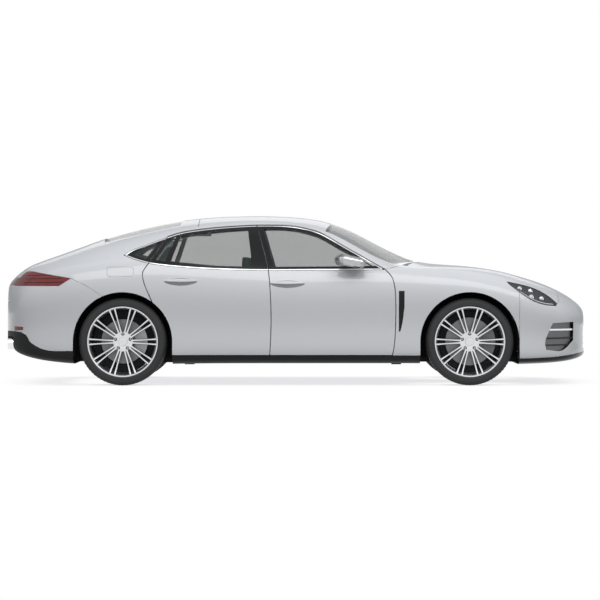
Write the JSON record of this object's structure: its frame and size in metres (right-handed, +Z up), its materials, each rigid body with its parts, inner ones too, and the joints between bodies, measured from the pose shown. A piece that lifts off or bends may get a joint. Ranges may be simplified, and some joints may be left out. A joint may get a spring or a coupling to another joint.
{
  "type": "sports sedan",
  "caption": "Low five-door sports sedan with a sloping tail, opening doors, bonnet and tailgate, steered front wheels and large spoked rims.",
  "frame": {"origin": "on the ground, under the middle of the car's box", "axes": "+X to the nose, +Y to the left side, +Z up"},
  "size_m": [4.9266, 2.0964, 1.4185],
  "materials": {
    "paint": "gloss",
    "trim": "gloss",
    "dark": "matt",
    "glass": "clear",
    "lamp": "clear",
    "red": "gloss",
    "steel": "satin",
    "alloy": "satin",
    "iron": "satin",
    "bright": "polished",
    "tyre": "matt",
    "seat": "satin"
  },
  "bodies": {
    "body": {"floor_pan": "steel", "body_sides": "paint", "quarter_glass": "glass", "roof_panel": "paint", "windscreen": "glass", "cowl_panel": "dark", "fenders": "paint", "front_bumper": "paint", "front_grille": "dark", "front_lip": "dark", "headlamps": "lamp", "side_skirts": "dark", "rear_bumper": "paint", "rear_diffuser": "dark", "tail_lamps": "red", "exhaust": "bright", "wheel_linings": "dark", "front_subframe": "iron", "rear_subframe": "iron", "engine_block": "iron", "front_seats": "seat", "rear_seats": "seat", "dashboard": "dark", "door_hinge_forks": "steel", "lid_hinge_forks": "steel"},
    "bonnet": {"bonnet": "paint", "bonnet_hinges": "steel"},
    "tailgate": {"tailgate": "paint", "tailgate_hinges": "steel", "tailgate_glass": "glass", "light_strip": "red"},
    "door_front_left": {"door_front_left": "paint", "glass_front_left": "glass", "hinges_front_left": "steel", "mirror_left": "paint"},
    "door_rear_left": {"door_rear_left": "paint", "glass_rear_left": "glass", "hinges_rear_left": "steel"},
    "door_front_right": {"door_front_right": "paint", "glass_front_right": "glass", "hinges_front_right": "steel", "mirror_right": "paint"},
    "door_rear_right": {"door_rear_right": "paint", "glass_rear_right": "glass", "hinges_rear_right": "steel"},
    "steering_left": {"knuckle_front_left": "iron"},
    "wheel_front_left": {"wheel_front_left": "alloy", "tyre_front_left": "tyre", "disc_front_left": "iron"},
    "wheel_rear_left": {"wheel_rear_left": "alloy", "tyre_rear_left": "tyre", "disc_rear_left": "iron"},
    "steering_right": {"knuckle_front_right": "iron"},
    "wheel_front_right": {"wheel_front_right": "alloy", "tyre_front_right": "tyre", "disc_front_right": "iron"},
    "wheel_rear_right": {"wheel_rear_right": "alloy", "tyre_rear_right": "tyre", "disc_rear_right": "iron"}
  },
  "joints": [
    {"name": "bonnet_hinge", "type": "hinge", "parent": "body", "child": "bonnet", "pos_m": [0.99235, 0, 0.97603], "axis": [0, -1, 0], "range_deg": [0, 45]},
    {"name": "tailgate_hinge", "type": "hinge", "parent": "body", "child": "tailgate", "pos_m": [-0.91155, 0, 1.3591], "axis": [0, 1, 0], "range_deg": [0, 65]},
    {"name": "door_front_left_hinge", "type": "hinge", "parent": "body", "child": "door_front_left", "pos_m": [0.77793, 0.90298, 0.64], "axis": [0, 0, -1], "range_deg": [0, 65]},
    {"name": "door_rear_left_hinge", "type": "hinge", "parent": "body", "child": "door_rear_left", "pos_m": [-0.25484, 0.90482, 0.64], "axis": [0, 0, -1], "range_deg": [0, 65]},
    {"name": "door_front_right_hinge", "type": "hinge", "parent": "body", "child": "door_front_right", "pos_m": [0.77793, -0.90298, 0.64], "axis": [0, 0, 1], "range_deg": [0, 65]},
    {"name": "door_rear_right_hinge", "type": "hinge", "parent": "body", "child": "door_rear_right", "pos_m": [-0.25484, -0.90482, 0.64], "axis": [0, 0, 1], "range_deg": [0, 65]},
    {"name": "steering_left_pin", "type": "hinge", "parent": "body", "child": "steering_left", "pos_m": [1.44, 0.73288, 0.363], "axis": [0, 0, 1], "range_deg": [-35, 35]},
    {"name": "wheel_front_left_turn", "type": "hinge", "parent": "steering_left", "child": "wheel_front_left", "pos_m": [1.44, 0.79288, 0.363], "axis": [0, 1, 0], "continuous": true},
    {"name": "wheel_rear_left_turn", "type": "hinge", "parent": "body", "child": "wheel_rear_left", "pos_m": [-1.44, 0.7845, 0.363], "axis": [0, 1, 0], "continuous": true},
    {"name": "steering_right_pin", "type": "hinge", "parent": "body", "child": "steering_right", "pos_m": [1.44, -0.73288, 0.363], "axis": [0, 0, 1], "range_deg": [-35, 35]},
    {"name": "wheel_front_right_turn", "type": "hinge", "parent": "steering_right", "child": "wheel_front_right", "pos_m": [1.44, -0.79288, 0.363], "axis": [0, 1, 0], "continuous": true},
    {"name": "wheel_rear_right_turn", "type": "hinge", "parent": "body", "child": "wheel_rear_right", "pos_m": [-1.44, -0.7845, 0.363], "axis": [0, 1, 0], "continuous": true}
  ],
  "couplings": [
    {"joint": "steering_right_pin", "follows": "steering_left_pin", "ratio": 1}
  ]
}
